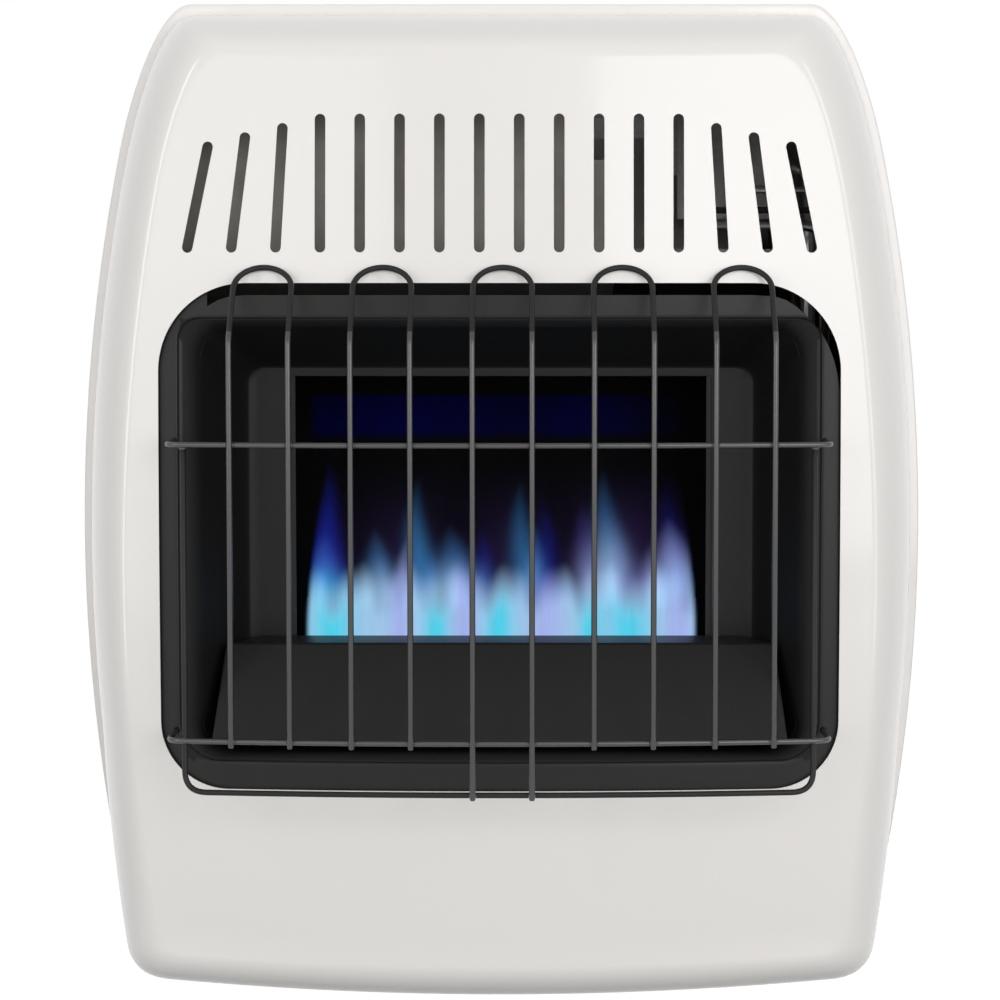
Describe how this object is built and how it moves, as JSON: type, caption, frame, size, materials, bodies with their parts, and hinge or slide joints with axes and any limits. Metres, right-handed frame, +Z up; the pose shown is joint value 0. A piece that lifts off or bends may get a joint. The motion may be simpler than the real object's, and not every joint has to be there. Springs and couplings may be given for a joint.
{
  "type": "wall mounted gas heater",
  "caption": "Wall hung blue-flame gas room heater with a bowed sheet metal cabinet, top vent slots, a recessed firebox window and a wire guard.",
  "frame": {"origin": "middle of the line between the two wall screws, on the plane of the wall", "axes": "+Z up, +X to the right as seen from the room, -Y out of the wall into the room"},
  "size_m": [0.498, 0.2375, 0.5699],
  "materials": {
    "enamel_white": "semi-gloss off-white baked enamel",
    "case_paint": "semi-gloss off-white paint",
    "black_enamel": "satin black high-temperature enamel",
    "dark_wire": "satin black coated steel wire",
    "firebox_steel": "dark aluminized steel, heat stained",
    "galvanised": "galvanised sheet",
    "burner_steel": "stainless, heat stained",
    "brass": "machined brass",
    "cast_body": "die-cast aluminium",
    "pipe_aluminium": "drawn aluminium tube",
    "white_ceramic": "glazed white",
    "copper_lead": "copper capillary tube",
    "red_sleeve": "silicone sleeve",
    "black_plastic": "fine matt",
    "red_plastic": "gloss",
    "screw_zinc": "zinc plated"
  },
  "bodies": {
    "heater": {"wall_bracket": "galvanised", "wall_spacers": "galvanised", "case_back": "case_paint", "case_wrap": "case_paint", "case_foot": "case_paint", "front_panel": "enamel_white", "surround": "black_enamel", "firebox_plate": "black_enamel", "firebox_side_left": "firebox_steel", "firebox_side_right": "firebox_steel", "firebox_back": "firebox_steel", "firebox_floor": "firebox_steel", "firebox_roof": "firebox_steel", "heat_deflector": "firebox_steel", "valve_shield": "firebox_steel", "burner_cover": "black_enamel", "burner_tube": "burner_steel", "burner_supports": "galvanised", "mixer_tube": "burner_steel", "orifice_holder": "brass", "orifice": "brass", "pilot_bracket": "galvanised", "pilot_burner": "brass", "thermocouple": "burner_steel", "electrode": "white_ceramic", "control_tray": "case_paint", "valve_bracket": "galvanised", "gas_valve": "cast_body", "igniter_body": "black_plastic", "igniter_nut": "screw_zinc", "regulator": "cast_body", "regulator_bracket": "galvanised", "inlet_pipe": "pipe_aluminium", "burner_pipe": "pipe_aluminium", "pilot_pipe": "pipe_aluminium", "thermocouple_lead": "copper_lead", "ignition_lead": "red_sleeve", "guard_hairpin_1": "dark_wire", "guard_hairpin_2": "dark_wire", "guard_hairpin_3": "dark_wire", "guard_hairpin_4": "dark_wire", "guard_hairpin_5": "dark_wire", "guard_upper_rail": "dark_wire", "guard_lower_rail": "dark_wire", "guard_frame_wire": "dark_wire", "panel_screws": "screw_zinc", "surround_screws": "screw_zinc"},
    "plunger": {"valve_plunger": "brass"},
    "knob": {"control_stem": "brass", "control_knob": "black_plastic"},
    "button": {"igniter_button": "red_plastic"}
  },
  "joints": [
    {"name": "knob_press", "type": "slide", "parent": "heater", "child": "plunger", "axis": [0, 0, -1], "range_m": [0, 0.0035], "stiffness_N_per_m": 1500, "springref_m": -0.002},
    {"name": "knob_turn", "type": "hinge", "parent": "plunger", "child": "knob", "pos_m": [0.125, -0.038, 0], "axis": [0, 0, 1], "range_deg": [0, 180]},
    {"name": "igniter_press", "type": "slide", "parent": "heater", "child": "button", "axis": [0, 0, -1], "range_m": [0, 0.006], "stiffness_N_per_m": 1200, "springref_m": -0.004}
  ]
}
